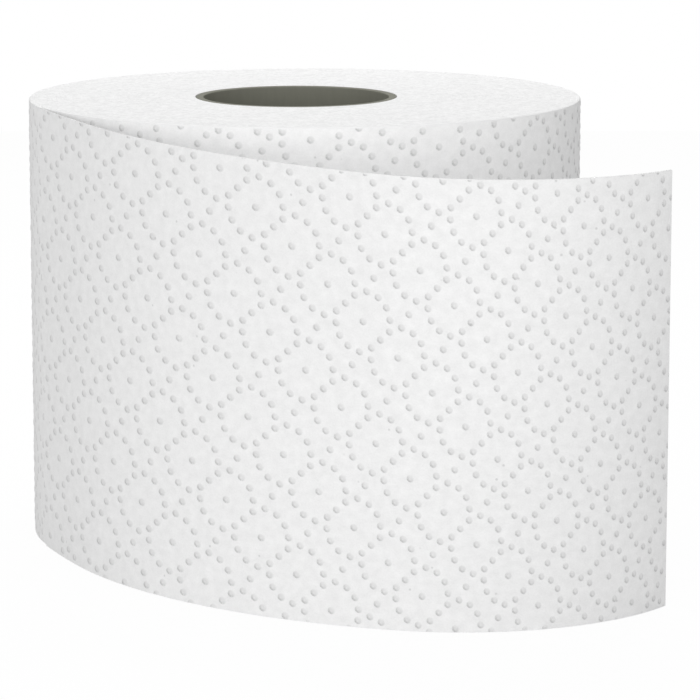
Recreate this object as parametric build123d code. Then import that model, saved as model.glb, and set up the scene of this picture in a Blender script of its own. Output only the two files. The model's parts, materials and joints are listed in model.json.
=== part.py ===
"""Toilet paper roll standing on its end.

A cardboard core carries one long web of tissue. The web is wound a little off centre, and its last
length has come free: it leaves the roll along one upright line, swings out in front and leans outward.
The origin is on the core's axis, at the end that the roll stands on, with +Z along that axis.
"""
import os
from math import degrees

from build123d import *

# Wound roll and core, in millimetres
web_width = 95.0
roll_diameter = 119.6
core_outer_diameter = 43.5
core_wall = 1.7
core_seat_gap = 0.1
winding_offset = 2.16

# Tissue, and the open notch at the line where the free sheet leaves the roll
sheet_thickness = 0.4
notch_gap = 0.15

# Turns, shown as one spiral crease on each end of the roll
crease_turns = 4
crease_width = 0.6
crease_depth = 0.4
crease_margin = 1.5

# Free sheet: three tangent runs along its edges, in millimetres and degrees
leave_angle = 201.0
leave_run = 20.0
swing_run = 89.0
curl_run = 62.2

# Bend of each run at the lower edge, which stands on the floor
leave_radius_low = 235.0
swing_radius_low = 105.0
curl_radius_low = 50.0

# Bend of each run at the upper edge, which flares outward, droops and is a little stretched
leave_radius_high = 327.0
swing_radius_high = 167.0
curl_radius_high = 46.3
upper_edge_stretch = 1.04
upper_edge_droop = 1.45

# Sizes that follow from these
roll_radius = roll_diameter / 2
core_radius = core_outer_diameter / 2
bore_radius = core_radius - core_wall
seat_radius = core_radius + core_seat_gap
last_step = sheet_thickness + notch_gap


def leave_plane(height, droop=0.0):
    """Plane at a height, centred on the last turn, with X towards the line where the free sheet leaves."""
    toward_line = Vector(1, 0, 0).rotate(Axis.Z, leave_angle)
    centre = toward_line * -winding_offset + Vector(0, 0, height)
    level = Plane(origin=centre, x_dir=toward_line, z_dir=(0, 0, 1))
    return level.rotated((droop, 0, 0))


def half_turns(crossings):
    """Tangent half circles through successive crossings of the X axis, which make a spiral."""
    arcs = []
    for start, end in zip(crossings, crossings[1:]):
        first_angle = 0 if start > end else 180
        arcs.append(CenterArc(((start + end) / 2, 0), abs(end - start) / 2, first_angle, 180))
    return arcs


def wound_turns():
    """All wound turns as one solid round the core, with the last turn's step under the free sheet."""
    under_sheet = roll_radius - last_step
    far_side = last_step / 2 - roll_radius
    last_turn = half_turns([under_sheet, far_side, roll_radius])
    step = Line((roll_radius, 0), (under_sheet, 0))
    turns = extrude(leave_plane(0) * make_face([*last_turn, step]), web_width)
    core_seat = Cylinder(seat_radius, web_width, align=(Align.CENTER, Align.CENTER, Align.MIN))
    return turns - core_seat


def turn_crease(height, inward):
    """Cutter for the spiral crease between turns on one end, from beside the core out to the last turn."""
    inner_edge = seat_radius + crease_margin
    outer_edge = roll_radius - last_step - crease_margin
    near_pitch = (outer_edge - winding_offset - inner_edge) / crease_turns
    far_pitch = (outer_edge + winding_offset - inner_edge) / crease_turns
    crossings = []
    for turn in range(crease_turns):
        crossings.append(winding_offset + inner_edge + near_pitch * turn)
        crossings.append(winding_offset - inner_edge - far_pitch * (turn + 0.5))
    crossings.append(outer_edge)
    depth = crease_depth * inward
    notch = make_face(Polyline((0, depth), (-crease_width, -depth), (crease_width, -depth), close=True))
    start = Plane(origin=(crossings[0], 0, 0), x_dir=(1, 0, 0), z_dir=(0, -1, 0))
    return leave_plane(height) * sweep(start * notch, path=Wire(half_turns(crossings)))


def sheet_edge(radii, stretch=1.0):
    """Thin curved strip along one edge of the free sheet, from the roll to the cut end."""
    outer = []
    inner = []
    outer_start = Vector(roll_radius, 0)
    inner_start = Vector(roll_radius - sheet_thickness, 0)
    tangent = Vector(0, 1)
    for run, radius in zip((leave_run, swing_run, curl_run), radii):
        sweep = degrees(run * stretch / radius)
        outer.append(JernArc(outer_start, tangent, radius, sweep))
        inner.append(JernArc(inner_start, tangent, radius - sheet_thickness, sweep))
        outer_start = outer[-1] @ 1
        inner_start = inner[-1] @ 1
        tangent = outer[-1] % 1
    cut_end = Line(outer_start, inner_start)
    root = Line((roll_radius, 0), (roll_radius - sheet_thickness, 0))
    return make_face([*outer, cut_end, *inner, root])


def free_sheet():
    """The loose last length of the web, ruled from its lower edge up to its flared upper edge."""
    lower = sheet_edge((leave_radius_low, swing_radius_low, curl_radius_low))
    upper = sheet_edge((leave_radius_high, swing_radius_high, curl_radius_high), upper_edge_stretch)
    return loft([leave_plane(0) * lower, leave_plane(web_width, upper_edge_droop) * upper], ruled=True)


def paper_web():
    """The whole web as one piece: wound turns, a spiral crease on both ends and the free sheet."""
    creased = wound_turns() - turn_crease(0, 1) - turn_crease(web_width, -1)
    return creased + free_sheet()


def core_tube():
    """Cardboard tube, cut to the same width as the web."""
    standing = (Align.CENTER, Align.CENTER, Align.MIN)
    return Cylinder(core_radius, web_width, align=standing) - Cylinder(bore_radius, web_width, align=standing)


os.makedirs("parts", exist_ok=True)
export_step(paper_web(), "parts/paper_web.step")
export_step(core_tube(), "parts/core_tube.step")
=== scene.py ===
"""Looks of a toilet paper roll: an embossed tissue web, its free last sheet and a cardboard core.

Shapes are worked out in millimetres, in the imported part's frame, and written to meshes in metres.
"""
import json
import math

import bpy
import numpy as np
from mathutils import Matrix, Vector
from mathutils.geometry import delaunay_2d_cdt
from mathutils.kdtree import KDTree


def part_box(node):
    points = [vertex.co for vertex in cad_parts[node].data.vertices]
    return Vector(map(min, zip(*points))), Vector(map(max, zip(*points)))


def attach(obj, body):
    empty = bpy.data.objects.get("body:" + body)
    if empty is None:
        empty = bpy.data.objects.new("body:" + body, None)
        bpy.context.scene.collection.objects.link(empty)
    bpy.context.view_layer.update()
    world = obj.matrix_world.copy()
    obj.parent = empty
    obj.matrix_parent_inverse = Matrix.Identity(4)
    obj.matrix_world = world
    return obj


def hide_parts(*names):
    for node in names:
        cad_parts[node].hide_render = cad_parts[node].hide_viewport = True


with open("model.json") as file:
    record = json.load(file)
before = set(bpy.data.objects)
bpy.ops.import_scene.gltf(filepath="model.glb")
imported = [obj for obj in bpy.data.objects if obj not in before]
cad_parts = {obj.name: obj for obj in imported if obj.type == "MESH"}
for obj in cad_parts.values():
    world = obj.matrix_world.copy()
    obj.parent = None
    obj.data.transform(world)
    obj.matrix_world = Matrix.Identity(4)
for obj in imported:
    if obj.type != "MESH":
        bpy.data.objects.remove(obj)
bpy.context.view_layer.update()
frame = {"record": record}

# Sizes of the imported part
MM = 0.001
core_low, core_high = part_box("core_tube")
mounts = {mount["name"]: mount for mount in frame["record"]["mounts"]}
WEB_WIDTH = round((core_high.z - core_low.z) / MM, 3)
CORE_RADIUS = round((core_high.x - core_low.x) / 2 / MM, 3)
BORE_RADIUS = mounts["spindle_bore"]["dims"]["r_mm"]
SEAT_GAP = 0.1
SEAT_RADIUS = CORE_RADIUS + SEAT_GAP
ROLL_RADIUS = 59.8
WINDING_OFFSET = 2.16
LEAVE_ANGLE = math.radians(201)
SHEET_THICKNESS = 0.4

# Core tube's mesh
CORE_COLUMNS = 144
RIM_ROUND = 0.25
RIM_STEPS = 4

# Wound turns
TURNS = 69
TURN_STEPS = 96
TURN_LENGTH = 2 * math.pi * ROLL_RADIUS
EDGE_INSET = 0.25
EDGE_TAPER = 40
RIM_DROP = 0.28

# Relief of the turns on the roll's ends
GROOVE_DEPTH = 0.02
GROOVE_LEAST = 0.4
LEVEL_SWING = 0.08
LEVEL_KNOTS_PER_TURN = 3
LEVEL_SPARE_KNOTS = 4
LEVEL_FADE_TURNS = 2
LEVEL_SEED = 7

# Free sheet: runs along its lower edge and the bend of each run at both edges
RUNS = (20.0, 89.0, 62.2)
LOW_RADII = (235.0, 105.0, 50.0)
HIGH_RADII = (327.0, 167.0, 46.3)
STRETCH = 1.04
DROOP = math.radians(1.45)
SHEET_RUN = sum(RUNS)
LEAVE_EASE = 25.0
EDGE_SOFTNESS = 0.4

# Emboss: rings of dots on a slanted lattice, in millimetres along and across the flat web
LATTICE_A = np.array((7.4, -6.843))
LATTICE_B = np.array((12.0, 11.443))
RING_AT = np.array((69.60, 53.38))
PAIRED_DOTS = ((0.33, 0.27), (0.10, 0.35), (-0.16, 0.365), (-0.40, 0.31))
SIDE_STEP = 0.16
CELL_REACH = 60
SPARE_BEFORE = 30.0
SPARE_AFTER = 10.0

# How the pattern lies: drawn out and slanted along the free sheet, and shifted on the last turn
SHEET_PITCH = 1.1216
SHEET_SWING = 15.27
SHEET_SWING_LENGTH = 266.6
SHEET_SLANT = 0.080
SHEET_SLANT_LENGTH = 183.8
WALL_PITCH_GAIN = 0.02
WALL_SHIFT = (17.3, 1.1)
WALL_EASE = 150.0

# One raised dot: a foot circle and a smaller top circle beside its middle, so one flank is steeper
DOT_FOOT = 0.92
DOT_TOP = 0.36
DOT_LEAN = np.array((-0.125, -0.095))
DOT_RISE = 0.09
EDGE_FADE = 0.25
# Painted shade on each dot's steep flank, partly also pressed paper: its power of the steepness, and its
# share from the foot (0) to the top (1) and further inside
FLANK_SHADE_POWER = 3
FLANK_SHADE_AT = (0, 0.5, 1, 1.4)
FLANK_SHADE_SHARES = (0, 1, 0.7, 0)

# Spacing of mesh points
BORDER_STEP = 2.4
CUT_STEPS = 5
CUT_GAP = 0.3
FIELD_STEP = 2.5
FIELD_CLEARANCE = 1.3 * DOT_FOOT
BORDER_MARGIN = 0.12
RING_SHARES = (0.0, 0.5, 1.0)
RING_POINTS = (8, 8, 6)
DIRECTION_STEP = 0.02
SLOPE_STEP = 0.01
SLOPE_WAYS = np.array(((SLOPE_STEP, 0.0), (0.0, SLOPE_STEP)))

# Points in the same small cell are one point of a mesh
WELD_CELL = 0.002
WELD_SHIFT = 0.31

# Studio, in metres and degrees
FLOOR_HALF = 0.75
FLOOR_DROP = 0.0002
FLOOR_WHITENESS = 0.95
LIGHT_AIM = Vector((0.0, -0.03, 0.05))
CAMERA_DIP = 10.0235


def to_part(x, y, z):
    """Places in the leaving plane, centred on the last turn, as points in the part's frame."""
    cos, sin = math.cos(LEAVE_ANGLE), math.sin(LEAVE_ANGLE)
    x = x - WINDING_OFFSET
    z = np.broadcast_to(z, np.shape(x))
    return np.stack([x * cos - y * sin, x * sin + y * cos, z], axis=-1)


def winding(turn, beside=0.0):
    """Outer face of the web after so many turns from the core, or beside it by a share of a turn."""
    share = (turn + beside) / TURNS
    radius = SEAT_RADIUS + (ROLL_RADIUS - SEAT_RADIUS) * share
    angle = 2 * math.pi * turn
    return WINDING_OFFSET * (1 - share) + radius * np.cos(angle), radius * np.sin(angle)


def wall_point(run, height):
    """Outside of the last wound turn. The run is 0 where the sheet leaves, and less before that."""
    x, y = winding(TURNS + run / TURN_LENGTH)
    return to_part(x, y, RIM_DROP + height * (1 - 2 * RIM_DROP / WEB_WIDTH))


def bend(run, runs, radii):
    """Places along tangent arcs that start along the roll's outside, in the leaving plane."""
    start_x, start_y, angle, done = ROLL_RADIUS, 0.0, 0.0, 0.0
    x, y = np.zeros_like(run), np.zeros_like(run)
    for length, radius in zip(runs, radii):
        centre_x = start_x - radius * math.cos(angle)
        centre_y = start_y - radius * math.sin(angle)
        reached = (run >= done) | (done == 0.0)
        turned = angle + (run - done) / radius
        x = np.where(reached, centre_x + radius * np.cos(turned), x)
        y = np.where(reached, centre_y + radius * np.sin(turned), y)
        angle += length / radius
        start_x = centre_x + radius * math.cos(angle)
        start_y = centre_y + radius * math.sin(angle)
        done += length
    return x, y


def sheet_point(run, height):
    """Front of the free sheet, ruled from its lower edge up to its stretched and drooping upper edge."""
    low_x, low_y = bend(run, RUNS, LOW_RADII)
    high_x, high_y = bend(run * STRETCH, [length * STRETCH for length in RUNS], HIGH_RADII)
    high_z = WEB_WIDTH - high_y * math.sin(DROOP) - RIM_DROP * smooth(1 - run / LEAVE_EASE)
    high_y = high_y * math.cos(DROOP)
    share = height / WEB_WIDTH
    return to_part(low_x + (high_x - low_x) * share, low_y + (high_y - low_y) * share, high_z * share)


def smooth(share):
    """Soft step from 0 to 1."""
    share = np.clip(share, 0, 1)
    return share * share * (3 - 2 * share)


def unit(vectors):
    """The vectors, each made one long."""
    return vectors / np.linalg.norm(vectors, axis=-1, keepdims=True)


def directions(point, run, height):
    """Directions along the web, across it and out of it, at places on a surface."""
    step = DIRECTION_STEP
    along = unit(point(run + step, height) - point(run - step, height))
    across = unit(point(run, height + step) - point(run, height - step))
    return along, across, unit(np.cross(along, across))


def pattern_on_web(places):
    """Run and height on the web of places in the flat emboss pattern."""
    along, height = places[:, 0], places[:, 1]
    drawn = SHEET_PITCH * along + SHEET_SWING * np.sin(2 * math.pi * along / SHEET_SWING_LENGTH)
    slant = SHEET_SLANT * np.sin(math.pi * along / SHEET_SLANT_LENGTH) ** 2 * (height - WEB_WIDTH / 2)
    ease = np.clip(-along / WALL_EASE, 0, 1)
    shifted = along + ease * (WALL_SHIFT[0] + WALL_PITCH_GAIN * along)
    run = np.where(along > 0, drawn + slant, shifted)
    return np.stack([run, height + ease * WALL_SHIFT[1]], axis=-1)


def emboss_dots():
    """All dots on the last turn and the free sheet: each one's run, height and stretch along the run."""
    motif = [(0.0, 0.0), (0.5, 0.5), (0.5, 0.0), (0.5, SIDE_STEP), (0.5, -SIDE_STEP)]
    for along_a, along_b in PAIRED_DOTS:
        motif += [(along_a, along_b), (-along_a, -along_b)]
    reach = np.arange(-CELL_REACH, CELL_REACH + 1)
    cells = np.stack(np.meshgrid(reach, reach), axis=-1).reshape(-1, 1, 2)
    steps = (cells + np.array(motif)).reshape(-1, 2)
    flat = RING_AT + steps[:, :1] * LATTICE_A + steps[:, 1:] * LATTICE_B
    flat = flat[(flat[:, 0] > -TURN_LENGTH - SPARE_BEFORE) & (flat[:, 0] < SHEET_RUN + SPARE_AFTER)]
    step = np.array((0.5, 0.0))
    stretch = pattern_on_web(flat + step)[:, 0] - pattern_on_web(flat - step)[:, 0]
    dots = np.column_stack([pattern_on_web(flat), stretch])
    run, height = dots[:, 0], dots[:, 1]
    inside = (run > -TURN_LENGTH - DOT_FOOT) & (run < SHEET_RUN + DOT_FOOT)
    inside &= (height > -DOT_FOOT) & (height < WEB_WIDTH + DOT_FOOT)
    return dots[inside]


def dot_field(dots):
    """Search tree over the dots."""
    tree = KDTree(len(dots))
    for index, (run, height, stretch) in enumerate(dots):
        tree.insert((run, height, 0.0), index)
    tree.balance()
    return tree


def dot_offset(places, dots):
    """Places beside the centres of dots, in the flat pattern's measure."""
    along = (places[:, 0] - dots[:, 0]) / dots[:, 2]
    return np.stack([along, places[:, 1] - dots[:, 1]], axis=-1)


def dot_share(offset):
    """How far up a dot places beside its centre are: 0 on the foot circle, 1 on the top one, more inside."""
    narrowing = DOT_FOOT - DOT_TOP
    square = DOT_LEAN @ DOT_LEAN - narrowing ** 2
    linear = 2 * (DOT_FOOT * narrowing - offset @ DOT_LEAN)
    constant = np.sum(offset ** 2, axis=1) - DOT_FOOT ** 2
    root = np.sqrt(np.maximum(linear ** 2 - 4 * square * constant, 0))
    return -2 * constant / (linear + root)


def flank_press_and_shade(offset):
    """Painted shade, partly also pressed paper, at places beside a dot's centre: darkest where its flank is
    steepest, which is on the steeper side of each dot.
    """
    slopes = [(dot_share(offset + way) - dot_share(offset - way)) / (2 * SLOPE_STEP) for way in SLOPE_WAYS]
    steepest = 1 / (DOT_FOOT - DOT_TOP - np.linalg.norm(DOT_LEAN))
    steepness = np.hypot(*slopes) / steepest
    return steepness ** FLANK_SHADE_POWER * np.interp(dot_share(offset), FLANK_SHADE_AT, FLANK_SHADE_SHARES)


class Relief:
    """Emboss on a stretch of web, which fades out at the stretch's edges."""

    def __init__(self, first, last, dots):
        self.first, self.last = first, last
        self.dots = dots[(dots[:, 0] > first - DOT_FOOT) & (dots[:, 0] < last + DOT_FOOT)]
        self.tree = dot_field(self.dots)

    def nearest(self, places):
        """The dot nearest to each place."""
        return self.dots[[self.tree.find((run, height, 0.0))[1] for run, height in places]]

    def fade(self, places):
        """Share of the emboss that is left at places: none on the stretch's edges, all of it further in."""
        from_ends = np.minimum(places[:, 0] - self.first, self.last - places[:, 0])
        from_edges = np.minimum(places[:, 1], WEB_WIDTH - places[:, 1])
        return np.clip(np.minimum(from_ends, from_edges) / EDGE_FADE, 0, 1)

    def rise(self, places, nearest):
        """Height of the emboss at places that have these nearest dots."""
        return DOT_RISE * self.fade(places) * smooth(dot_share(dot_offset(places, nearest)))

    def slope(self, places, nearest):
        """Slope of the emboss along and across the web, which is level on the stretch's edges."""
        slopes = []
        for way in SLOPE_WAYS:
            difference = self.rise(places + way, nearest) - self.rise(places - way, nearest)
            slopes.append(difference / (2 * SLOPE_STEP))
        return np.stack(slopes, axis=-1) * (self.fade(places) > 0)[:, None]


def edge_steps(first, last, middle, half_width):
    """Places along one edge of the web: even steps, and closer ones across each dot that the edge cuts."""
    even = np.linspace(first, last, int((last - first) / BORDER_STEP) + 1)
    close = (middle[:, None] + half_width[:, None] * np.linspace(-1, 1, CUT_STEPS)).ravel()
    close = close[(close > first + CUT_GAP) & (close < last - CUT_GAP)]
    clear = np.abs(even[:, None] - close).min(axis=1, initial=np.inf) > CUT_GAP
    clear[[0, -1]] = True
    return np.sort(np.concatenate([even[clear], close]))


def border_places(first, last, dots):
    """Places round the edge of a stretch of web."""
    run, height, stretch = dots.T
    along, across = stretch * DOT_FOOT, np.full_like(height, DOT_FOOT)
    border = []
    for level in (0.0, WEB_WIDTH):
        cut = np.abs(height - level) < across
        border += [(step, level) for step in edge_steps(first, last, run[cut], along[cut])]
    for level in (first, last):
        cut = np.abs(run - level) < along
        border += [(level, step) for step in edge_steps(0.0, WEB_WIDTH, height[cut], across[cut])[1:-1]]
    return np.array(border)


def web_places(relief):
    """Mesh places on a stretch of web and their triangles, with rings of places round every dot."""
    first, last, dots = relief.first, relief.last, relief.dots
    across = np.ones(len(dots))
    stretch = np.stack([dots[:, 2], across], axis=-1)
    inner = [dots[:, :2] + stretch * DOT_LEAN]
    for share, count in zip(RING_SHARES, RING_POINTS):
        turn = 2 * math.pi * (np.arange(count) + share) / count
        radius = DOT_FOOT + share * (DOT_TOP - DOT_FOOT)
        ring = share * DOT_LEAN + radius * np.stack([np.cos(turn), np.sin(turn)], axis=-1)
        inner.append((dots[:, None, :2] + stretch[:, None] * ring).reshape(-1, 2))
    rows = np.arange(FIELD_STEP / 2, WEB_WIDTH, FIELD_STEP)
    columns = np.arange(first + FIELD_STEP / 2, last, FIELD_STEP)
    field = np.stack(np.meshgrid(columns, rows), axis=-1)
    field[::2, :, 0] += FIELD_STEP / 2
    field = field.reshape(-1, 2)
    offset = dot_offset(field, relief.nearest(field))
    inner = np.concatenate([*inner, field[np.linalg.norm(offset, axis=1) > FIELD_CLEARANCE]])
    kept = (inner[:, 0] > first + BORDER_MARGIN) & (inner[:, 0] < last - BORDER_MARGIN)
    kept &= (inner[:, 1] > BORDER_MARGIN) & (inner[:, 1] < WEB_WIDTH - BORDER_MARGIN)
    border = border_places(first, last, dots)
    places = np.concatenate([border, inner[kept]])
    number = len(border) + np.cumsum(kept) - 1
    foot = len(dots) + np.arange(len(dots) * RING_POINTS[0]).reshape(len(dots), -1)
    foot_edges = np.stack([foot, np.roll(foot, -1, axis=1)], axis=-1).reshape(-1, 2)
    foot_edges = number[foot_edges[kept[foot_edges].all(axis=1)]]
    flat = delaunay_2d_cdt([Vector(place) for place in places.tolist()], foot_edges.tolist(), [], 0, 1e-6)
    origin = np.array([source[0] for source in flat[3]])
    triangles = origin[np.array(flat[2])]
    corner = places[triangles]
    area = np.cross(corner[:, 1] - corner[:, 0], corner[:, 2] - corner[:, 0])
    triangles[area < 0] = triangles[area < 0][:, ::-1]
    return places, triangles


class Patch:
    """Part of a mesh's surface, with its own shading normals, or flat ones where none are given."""

    def __init__(self, points, triangles, normals=None, material=0, **marks):
        self.points = points
        self.triangles = np.asarray(triangles, dtype=np.int64).reshape(-1, 3)
        self.normals = normals
        self.material = material
        self.marks = marks

    def flipped(self):
        """The same patch, facing the other way."""
        self.triangles = self.triangles[:, ::-1]
        if self.normals is not None:
            self.normals = -self.normals
        return self


def web_patch(point, places, triangles, relief, depth=0.0):
    """Embossed surface of the web, or the face behind it at some depth, which has the same dots as dents."""
    run, height = places[:, 0], places[:, 1]
    along, across, out = directions(point, run, height)
    nearest = relief.nearest(places)
    slope = relief.slope(places, nearest)
    points = point(run, height) + out * (relief.rise(places, nearest) - depth)[:, None]
    normals = unit(out - along * slope[:, :1] - across * slope[:, 1:])
    web_place = np.stack([run, height, np.zeros_like(run)], axis=-1)
    offset = dot_offset(places, nearest)
    fade = relief.fade(places)
    raised = fade * np.clip(dot_share(offset), 0, 1)
    # Painted shade on the dots' steep flanks, partly also pressed paper, carried to the material as a mark
    pressed_and_shade = fade * flank_press_and_shade(offset)
    return Patch(points, triangles, normals, raised=raised, pressed_and_shade=pressed_and_shade, web_place=web_place)


def zipper(left, right, left_place, right_place):
    """Triangles between two rows of points, given by their numbers and their places along the seam."""
    triangles = []
    i, j = 0, 0
    while i + 1 < len(left) or j + 1 < len(right):
        left_ends = i + 1 >= len(left)
        right_ends = j + 1 >= len(right)
        if right_ends or (not left_ends and left_place[i + 1] <= right_place[j + 1]):
            triangles.append((left[i], left[i + 1], right[j]))
            i += 1
        else:
            triangles.append((left[i], right[j + 1], right[j]))
            j += 1
    return triangles


def strip(first, second):
    """Triangles between two rows of points of the same length."""
    triangles = []
    for a, b, c, d in zip(first, second, second[1:], first[1:]):
        triangles += [(a, b, c), (a, c, d)]
    return triangles


def side_numbers(places, axis, level):
    """Numbers of the places on one edge of a stretch of web, in rising order."""
    other = 1 - axis
    found = np.flatnonzero(places[:, axis] == level)
    return found[np.argsort(places[found, other])]


def end_patch(level, inward):
    """One end of the roll: the edges of its turns, from the core's seat out to the last turn's edge."""
    last = TURNS * TURN_STEPS
    inner_end = last - TURN_STEPS
    turn = np.arange(last + 1) / TURN_STEPS
    knots = np.arange(TURNS * LEVEL_KNOTS_PER_TURN + LEVEL_SPARE_KNOTS) / LEVEL_KNOTS_PER_TURN
    draws = np.random.default_rng(LEVEL_SEED).uniform(0, 1, (2, len(knots)))
    fade = np.clip(np.minimum(turn, (TURNS - 1 - turn)) / LEVEL_FADE_TURNS, 0, 1)
    swing = LEVEL_SWING * fade * np.interp(turn, knots, draws[0])
    groove = GROOVE_DEPTH * (GROOVE_LEAST + np.interp(turn, knots, draws[1]))
    taper = np.clip(np.minimum(turn - (TURNS - 1), TURNS - turn) * EDGE_TAPER, 0, 1)
    swing += RIM_DROP * np.clip(1 - np.minimum(np.abs(turn - (TURNS - 1)), TURNS - turn) * EDGE_TAPER, 0, 1)
    ridge_x, ridge_y = winding(turn, -EDGE_INSET * taper * TURNS / (ROLL_RADIUS - SEAT_RADIUS))
    ridges = to_part(ridge_x, ridge_y, level + inward * swing)
    valley_turn = turn[:inner_end + 1]
    valley_x, valley_y = winding(valley_turn, 0.5)
    valleys = to_part(valley_x, valley_y, level + inward * (swing + groove)[:inner_end + 1])
    seat_angle = 2 * math.pi * np.arange(1, TURN_STEPS) / TURN_STEPS
    seat_x = WINDING_OFFSET + SEAT_RADIUS * np.cos(seat_angle)
    seat = to_part(seat_x, SEAT_RADIUS * np.sin(seat_angle), level)
    points = np.concatenate([ridges, valleys, seat])
    marks = np.concatenate([turn, valley_turn + 0.5, np.zeros(len(seat))])
    ridge = np.arange(last + 1)
    valley = len(ridge) + np.arange(inner_end + 1)
    circle = [0, *(len(ridge) + len(valley) + np.arange(TURN_STEPS - 1)), 0]
    triangles = strip(ridge[:inner_end + 1], valley)
    triangles += strip(valley, ridge[TURN_STEPS:])
    triangles += strip(circle, ridge[:TURN_STEPS + 1])
    triangles.append((0, ridge[TURN_STEPS], valley[0]))
    triangles.append((ridge[inner_end], valley[-1], ridge[last]))
    patch = Patch(points, triangles, material=1, turn=marks)
    return patch, ridge[inner_end:], circle


def joined(parts, triangles, normals=None):
    """Patch between rows of points that other patches own, given as (points, numbers) pairs."""
    points = np.concatenate([patch.points[numbers] for patch, numbers in parts])
    return Patch(points, triangles, normals)


def wound_paper(dots, materials):
    """The wound turns: an embossed outer wall, the edges of the turns on both ends and the core's seat."""
    first = -TURN_LENGTH
    relief = Relief(first, 0.0, dots)
    places, triangles = web_places(relief)
    wall = web_patch(wall_point, places, triangles, relief)
    top, top_edge, top_circle = end_patch(WEB_WIDTH, -1)
    bottom, bottom_edge, bottom_circle = end_patch(0.0, 1)
    bottom.flipped()
    patches = [wall, top, bottom]
    edge_place = np.linspace(first, 0.0, len(top_edge))
    for end, edge, level in ((top, top_edge, WEB_WIDTH), (bottom, bottom_edge, 0.0)):
        rim = side_numbers(places, 1, level)
        numbers = np.arange(len(rim) + len(edge))
        triangles = zipper(numbers[:len(rim)], numbers[len(rim):], places[rim, 0], edge_place)
        facing = np.array((0.0, 0.0, 1.0 if level else -1.0))
        normals = np.concatenate([wall.normals[rim], np.broadcast_to(facing, (len(edge), 3))])
        if not level:
            triangles = [corners[::-1] for corners in triangles]
        patches.append(joined([(wall, rim), (end, edge)], triangles, normals))
    seat_steps = np.arange(TURN_STEPS + 1)
    seat_triangles = strip(seat_steps, TURN_STEPS + 1 + seat_steps)
    patches.append(joined([(bottom, bottom_circle), (top, top_circle)], seat_triangles))
    inner_side = side_numbers(places, 0, first)
    outer_side = side_numbers(places, 0, 0.0)
    numbers = np.arange(len(inner_side) + len(outer_side))
    step_triangles = zipper(numbers[:len(inner_side)], numbers[len(inner_side):],
                            places[inner_side, 1], places[outer_side, 1])
    patches.append(joined([(wall, inner_side), (wall, outer_side)], step_triangles))
    return make_piece("wound_paper", patches, materials)


def free_sheet(dots, materials):
    """The loose last length of the web: a thin shell with raised dots in front and dents behind."""
    relief = Relief(0.0, SHEET_RUN, dots)
    places, triangles = web_places(relief)
    front = web_patch(sheet_point, places, triangles, relief)
    back = web_patch(sheet_point, places, triangles, relief, SHEET_THICKNESS).flipped()
    loop = [*side_numbers(places, 1, 0.0), *side_numbers(places, 0, SHEET_RUN)[1:]]
    loop += [*side_numbers(places, 1, WEB_WIDTH)[::-1][1:], *side_numbers(places, 0, 0.0)[::-1][1:]]
    count = len(loop)
    rim_triangles = strip(np.arange(count), count + np.arange(count))
    along_loop = front.points[np.roll(loop, -1)] - front.points[np.roll(loop, 1)]
    outward = EDGE_SOFTNESS * unit(np.cross(along_loop, front.normals[loop]))
    rim_normals = unit(np.concatenate([front.normals[loop] + outward, back.normals[loop] + outward]))
    rim = joined([(front, loop), (back, loop)], rim_triangles, rim_normals)
    return make_piece("free_sheet", [front, back, rim], materials)


def make_piece(name, patches, materials):
    """One mesh object from patches, joined where their edges share points."""
    points = np.concatenate([patch.points for patch in patches])
    cells = np.floor(points / WELD_CELL + WELD_SHIFT).astype(np.int64)
    first, number = np.unique(cells, axis=0, return_index=True, return_inverse=True)[1:]
    number = number.reshape(-1)
    starts = np.cumsum([0] + [len(patch.points) for patch in patches])
    triangles, normals, material = [], [], []
    for patch, start in zip(patches, starts):
        faces = number[patch.triangles + start]
        real = (faces[:, 0] != faces[:, 1]) & (faces[:, 1] != faces[:, 2]) & (faces[:, 2] != faces[:, 0])
        own = patch.triangles[real]
        corner = patch.points[own]
        if patch.normals is None:
            flat = np.cross(corner[:, 1] - corner[:, 0], corner[:, 2] - corner[:, 0])
            flat = flat / np.maximum(np.linalg.norm(flat, axis=1, keepdims=True), 1e-12)
            normals.append(np.repeat(flat, 3, axis=0))
        else:
            normals.append(patch.normals[own].reshape(-1, 3))
        triangles.append(faces[real])
        material.append(np.full(len(own), patch.material))
    mesh = bpy.data.meshes.new(name)
    mesh.from_pydata((points[first] * MM).tolist(), [], np.concatenate(triangles).tolist())
    mesh.polygons.foreach_set("material_index", np.concatenate(material))
    mesh.polygons.foreach_set("use_smooth", np.ones(len(mesh.polygons), dtype=bool))
    for mark, size, kind in (("raised", 1, "FLOAT"), ("pressed_and_shade", 1, "FLOAT"), ("turn", 1, "FLOAT"),
                             ("web_place", 3, "FLOAT_VECTOR")):
        values = [patch.marks.get(mark, np.zeros((len(patch.points), size))) for patch in patches]
        values = np.concatenate([value.reshape(-1, size) for value in values])[first]
        field = "value" if size == 1 else "vector"
        mesh.attributes.new(mark, kind, "POINT").data.foreach_set(field, values.astype(np.float32).ravel())
    for item in materials:
        mesh.materials.append(item)
    mesh.update()
    mesh.normals_split_custom_set(np.concatenate(normals).tolist())
    piece = bpy.data.objects.new(name, mesh)
    bpy.context.scene.collection.objects.link(piece)
    return piece


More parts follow.
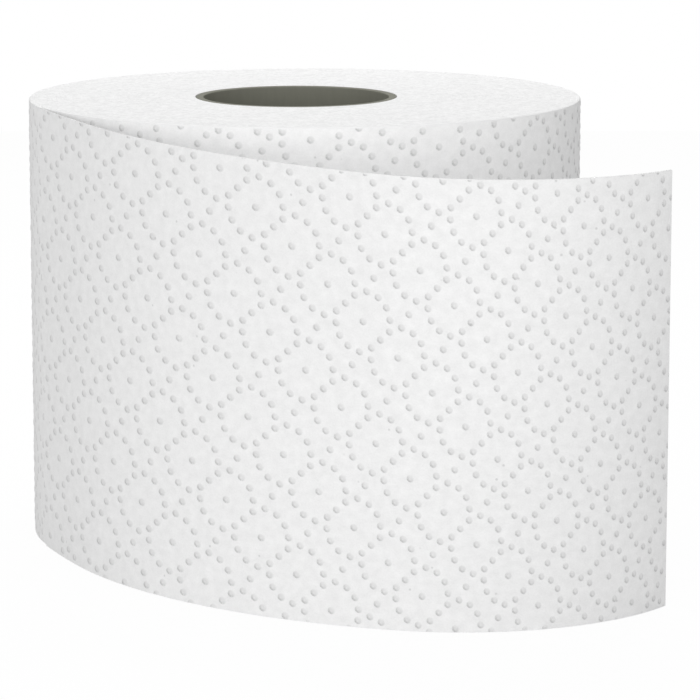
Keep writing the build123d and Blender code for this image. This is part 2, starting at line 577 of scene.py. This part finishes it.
class Nodes:
    """Short way to add and link the nodes of one material."""

    def __init__(self, name):
        self.material = bpy.data.materials.new(name)
        self.material.use_nodes = True
        self.tree = self.material.node_tree
        self.shader = self.tree.nodes["Principled BSDF"]

    def add(self, kind, inputs=(), **settings):
        """New node, with its settings and with its inputs set or linked by name or number."""
        node = self.tree.nodes.new(kind)
        for key, value in settings.items():
            setattr(node, key, value)
        for socket, value in dict(inputs).items():
            if isinstance(value, bpy.types.NodeSocket):
                self.tree.links.new(value, node.inputs[socket])
            else:
                node.inputs[socket].default_value = value
        return node

    def link(self, output, socket):
        """Link to one of the shader's own sockets."""
        self.tree.links.new(output, self.shader.inputs[socket])

    def math(self, operation, first, second=0.0):
        """Output of a sum, product or other operation."""
        return self.add("ShaderNodeMath", {0: first, 1: second}, operation=operation).outputs[0]

    def weighted(self, *parts):
        """Sum of values, each times its weight."""
        total = None
        for value, weight in parts:
            term = self.math("MULTIPLY", value, weight)
            total = term if total is None else self.math("ADD", total, term)
        return total

    def blend(self, share, first, second):
        """Colour between two colours."""
        node = self.add("ShaderNodeMix", {0: share, 6: first, 7: second}, data_type="RGBA")
        return node.outputs[2]

    def noise(self, vector, scale, detail, roughness):
        """Grey noise."""
        inputs = {"Vector": vector, "Scale": scale, "Detail": detail, "Roughness": roughness}
        return self.add("ShaderNodeTexNoise", inputs).outputs["Fac"]

    def ramp(self, value, low, high, out_low=0.0, out_high=1.0):
        """The value, mapped from one span to another and held inside it."""
        inputs = {"Value": value, "From Min": low, "From Max": high, "To Min": out_low, "To Max": out_high}
        return self.add("ShaderNodeMapRange", inputs).outputs["Result"]


def grey(level):
    """Neutral colour."""
    return (level, level, level, 1.0)


def tissue_material():
    """Soft creped tissue: cloudy fibre tone, crepe lines across the web, rare specks, darker dots: their
    tops partly denser paper and partly painted shade, their steep flanks painted shade with some pressed
    paper.
    """
    made = Nodes("tissue")
    place = made.add("ShaderNodeAttribute", attribute_name="web_place").outputs["Vector"]
    raised = made.add("ShaderNodeAttribute", attribute_name="raised").outputs["Fac"]
    pressed_and_shade = made.add("ShaderNodeAttribute", attribute_name="pressed_and_shade").outputs["Fac"]
    clouds = made.noise(place, scale=0.45, detail=4.0, roughness=0.6)
    fibres = made.noise(place, scale=2.6, detail=3.0, roughness=0.65)
    crepe_pitch = (3.2, 0.55, 1.0)
    crepe_place = made.add("ShaderNodeVectorMath", {0: place, 1: crepe_pitch}, operation="MULTIPLY")
    crepe = made.noise(crepe_place.outputs["Vector"], scale=1.0, detail=2.0, roughness=0.5)
    tone = made.weighted((clouds, 0.6), (fibres, 0.4))
    paper = made.blend(made.ramp(tone, low=0.35, high=0.65), grey(0.83), grey(0.92))
    cells = made.add("ShaderNodeTexVoronoi", {"Vector": place, "Scale": 0.21})
    chosen = made.ramp(cells.outputs["Color"], low=0.60, high=0.64)
    close = made.ramp(cells.outputs["Distance"], low=0.035, high=0.075, out_low=1.0, out_high=0.0)
    specked = made.blend(made.math("MULTIPLY", chosen, close), paper, grey(0.70))
    # Dots darkened in colour: slightly on their tops, partly denser paper and partly painted shade, and
    # strongly on their steep flanks, painted shade with some pressed paper
    left_after_dot_shade = made.math("SUBTRACT", 1.0, made.weighted((raised, 0.08), (pressed_and_shade, 0.38)))
    paper_with_dot_shade = made.add("ShaderNodeVectorMath", {0: specked, "Scale": left_after_dot_shade}, operation="SCALE")
    made.link(paper_with_dot_shade.outputs["Vector"], "Base Color")
    height = made.weighted((crepe, 0.6), (fibres, 0.4))
    bump = made.add("ShaderNodeBump", {"Height": height, "Strength": 0.35, "Distance": 0.06 * MM})
    made.link(bump.outputs["Normal"], "Normal")
    made.shader.inputs["Roughness"].default_value = 0.95
    made.shader.inputs["Specular IOR Level"].default_value = 0.15
    return made.material


def end_grain_material():
    """Edges of the wound turns: faint streaks along the turns under a cloudy, fibrous break-up."""
    made = Nodes("tissue_ends")
    turn = made.add("ShaderNodeAttribute", attribute_name="turn").outputs["Fac"]
    where = made.add("ShaderNodeTexCoord").outputs["Object"]
    streak_place = made.add("ShaderNodeCombineXYZ", {"X": turn}).outputs["Vector"]
    wander = (18.0, 18.0, 18.0)
    slow = made.add("ShaderNodeVectorMath", {0: where, 1: wander}, operation="MULTIPLY")
    mixed = made.add("ShaderNodeVectorMath", {0: streak_place, 1: slow.outputs["Vector"]}, operation="ADD")
    streaks = made.noise(mixed.outputs["Vector"], scale=1.6, detail=3.0, roughness=0.7)
    clouds = made.noise(where, scale=450.0, detail=2.0, roughness=0.6)
    fibres = made.noise(where, scale=1500.0, detail=2.0, roughness=0.6)
    tone = made.weighted((streaks, 0.20), (clouds, 0.25), (fibres, 0.55))
    made.link(made.blend(made.ramp(tone, low=0.32, high=0.60), grey(0.74), grey(0.925)), "Base Color")
    bump = made.add("ShaderNodeBump", {"Height": fibres, "Strength": 0.3, "Distance": 0.08 * MM})
    made.link(bump.outputs["Normal"], "Normal")
    made.shader.inputs["Roughness"].default_value = 1.0
    made.shader.inputs["Specular IOR Level"].default_value = 0.1
    return made.material


def board_material():
    """Grey recycled board: long pressed fibres and a dull surface."""
    made = Nodes("core_board")
    where = made.add("ShaderNodeTexCoord").outputs["Object"]
    fibre_pitch = (1.0, 1.0, 0.25)
    stretched = made.add("ShaderNodeVectorMath", {0: where, 1: fibre_pitch}, operation="MULTIPLY")
    fibres = made.noise(stretched.outputs["Vector"], scale=900.0, detail=5.0, roughness=0.65)
    clouds = made.noise(where, scale=120.0, detail=3.0, roughness=0.5)
    tone = made.ramp(made.weighted((fibres, 0.6), (clouds, 0.4)), low=0.3, high=0.7)
    dark_board = (0.185, 0.185, 0.152, 1.0)
    pale_board = (0.209, 0.209, 0.173, 1.0)
    made.link(made.blend(tone, dark_board, pale_board), "Base Color")
    bump = made.add("ShaderNodeBump", {"Height": fibres, "Strength": 0.2, "Distance": 0.05 * MM})
    made.link(bump.outputs["Normal"], "Normal")
    made.shader.inputs["Roughness"].default_value = 0.85
    made.shader.inputs["Specular IOR Level"].default_value = 0.25
    return made.material


def core_tube(material):
    """Plain board tube with softened rims."""
    inside, outside = BORE_RADIUS + RIM_ROUND, CORE_RADIUS - RIM_ROUND
    low, high = RIM_ROUND, WEB_WIDTH - RIM_ROUND
    corners = ((inside, low, 180), (outside, low, 270), (outside, high, 0), (inside, high, 90))
    profile = []
    for radius, height, first_angle in corners:
        for angle in np.radians(np.linspace(first_angle, first_angle + 90, RIM_STEPS)):
            profile.append((radius, height, math.cos(angle), math.sin(angle)))
    radius, height, outward, upward = np.array(profile).T
    turn = 2 * math.pi * np.arange(CORE_COLUMNS)[:, None] / CORE_COLUMNS
    ring_radius = radius + RIM_ROUND * outward
    points = np.stack([ring_radius * np.cos(turn), ring_radius * np.sin(turn),
                       np.broadcast_to(height + RIM_ROUND * upward, (CORE_COLUMNS, len(profile)))], axis=-1)
    normals = np.stack([outward * np.cos(turn), outward * np.sin(turn),
                        np.broadcast_to(upward, (CORE_COLUMNS, len(profile)))], axis=-1)
    loops = np.arange(CORE_COLUMNS * len(profile)).reshape(CORE_COLUMNS, len(profile))
    triangles = []
    for loop, following in zip(loops, np.roll(loops, -1, axis=0)):
        triangles += strip([*loop, loop[0]], [*following, following[0]])
    patch = Patch(points.reshape(-1, 3), triangles, normals.reshape(-1, 3))
    return make_piece("core", [patch], [material])


tissue = tissue_material()
end_grain = end_grain_material()
all_dots = emboss_dots()
wound = wound_paper(all_dots, [tissue, end_grain])
sheet = free_sheet(all_dots, [tissue])
core = core_tube(board_material())

for piece, node, slot in ((wound, "paper_web", "tissue"), (sheet, "paper_web", "tissue"),
                          (core, "core_tube", "core_board")):
    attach(piece, "root")
    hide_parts(node)


def pale_floor():
    """Wide floor that the camera sees as white, with the object's soft shadow kept on it."""
    made = Nodes("floor")
    made.shader.inputs["Roughness"].default_value = 1.0
    made.shader.inputs["Specular IOR Level"].default_value = 0.0
    path = made.add("ShaderNodeLightPath").outputs
    seen = made.math("MAXIMUM", path["Is Camera Ray"], path["Is Glossy Ray"])
    seen = made.math("MAXIMUM", seen, path["Is Transmission Ray"])
    made.link(made.blend(seen, grey(0.60), grey(0.97)), "Base Color")
    white = made.add("ShaderNodeEmission", {"Color": grey(1.0), "Strength": 1.0})
    mixed = made.add("ShaderNodeMixShader", {0: made.math("MULTIPLY", seen, FLOOR_WHITENESS)})
    made.tree.links.new(made.shader.outputs["BSDF"], mixed.inputs[1])
    made.tree.links.new(white.outputs["Emission"], mixed.inputs[2])
    made.tree.links.new(mixed.outputs["Shader"], made.tree.nodes["Material Output"].inputs["Surface"])
    half, low = FLOOR_HALF, -FLOOR_DROP
    mesh = bpy.data.meshes.new("floor")
    mesh.from_pydata([(-half, -half, low), (half, -half, low), (half, half, low), (-half, half, low)],
                     [], [(0, 1, 2, 3)])
    mesh.materials.append(made.material)
    floor = bpy.data.objects.new("floor", mesh)
    bpy.context.scene.collection.objects.link(floor)
    return floor


def soft_world(strength):
    """Even white surroundings that light the object softly and look white to the camera."""
    world = bpy.data.worlds.new("studio")
    world.use_nodes = True
    tree = world.node_tree
    nodes, links = tree.nodes, tree.links
    fill = nodes["Background"]
    fill.inputs["Color"].default_value = grey(1.0)
    fill.inputs["Strength"].default_value = strength
    white = nodes.new("ShaderNodeBackground")
    white.inputs["Color"].default_value = grey(1.0)
    white.inputs["Strength"].default_value = 1.0
    path = nodes.new("ShaderNodeLightPath").outputs
    seen = path["Is Camera Ray"]
    for name in ("Is Glossy Ray", "Is Transmission Ray"):
        either = nodes.new("ShaderNodeMath")
        either.operation = "MAXIMUM"
        links.new(seen, either.inputs[0])
        links.new(path[name], either.inputs[1])
        seen = either.outputs[0]
    mixed = nodes.new("ShaderNodeMixShader")
    links.new(seen, mixed.inputs[0])
    links.new(fill.outputs[0], mixed.inputs[1])
    links.new(white.outputs[0], mixed.inputs[2])
    links.new(mixed.outputs[0], nodes["World Output"].inputs["Surface"])
    bpy.context.scene.world = world


def area_light(name, azimuth, elevation, distance, size, power):
    """Square soft light that looks at the object's middle. Azimuth 0 is in front and 90 is on the right."""
    turn, lift = math.radians(azimuth), math.radians(elevation)
    back = Vector((math.sin(turn) * math.cos(lift), -math.cos(turn) * math.cos(lift), math.sin(lift)))
    lamp = bpy.data.lights.new(name, "AREA")
    lamp.size = size
    lamp.energy = power
    light = bpy.data.objects.new(name, lamp)
    light.location = LIGHT_AIM + back * distance
    light.rotation_euler = (-back).to_track_quat("-Z", "Y").to_euler()
    bpy.context.scene.collection.objects.link(light)


pale_floor()
soft_world(strength=0.655)
area_light("key", azimuth=-8, elevation=10, distance=1.5, size=0.5, power=9.6)
area_light("overhead", azimuth=180, elevation=62, distance=0.65, size=0.5, power=1.5)

# Camera at the photograph's viewpoint
lens = bpy.data.cameras.new("camera")
lens.sensor_width = 36.0
lens.lens = 192.04
lens.clip_end = 20.0
camera = bpy.data.objects.new("camera", lens)
camera.location = (0.011646, -0.805962, 0.181606)
camera.rotation_euler = (math.radians(90 - CAMERA_DIP), 0.0, 0.0)
bpy.context.scene.collection.objects.link(camera)
bpy.context.scene.camera = camera
bpy.context.scene.view_settings.view_transform = "Standard"

bpy.context.view_layer.update()
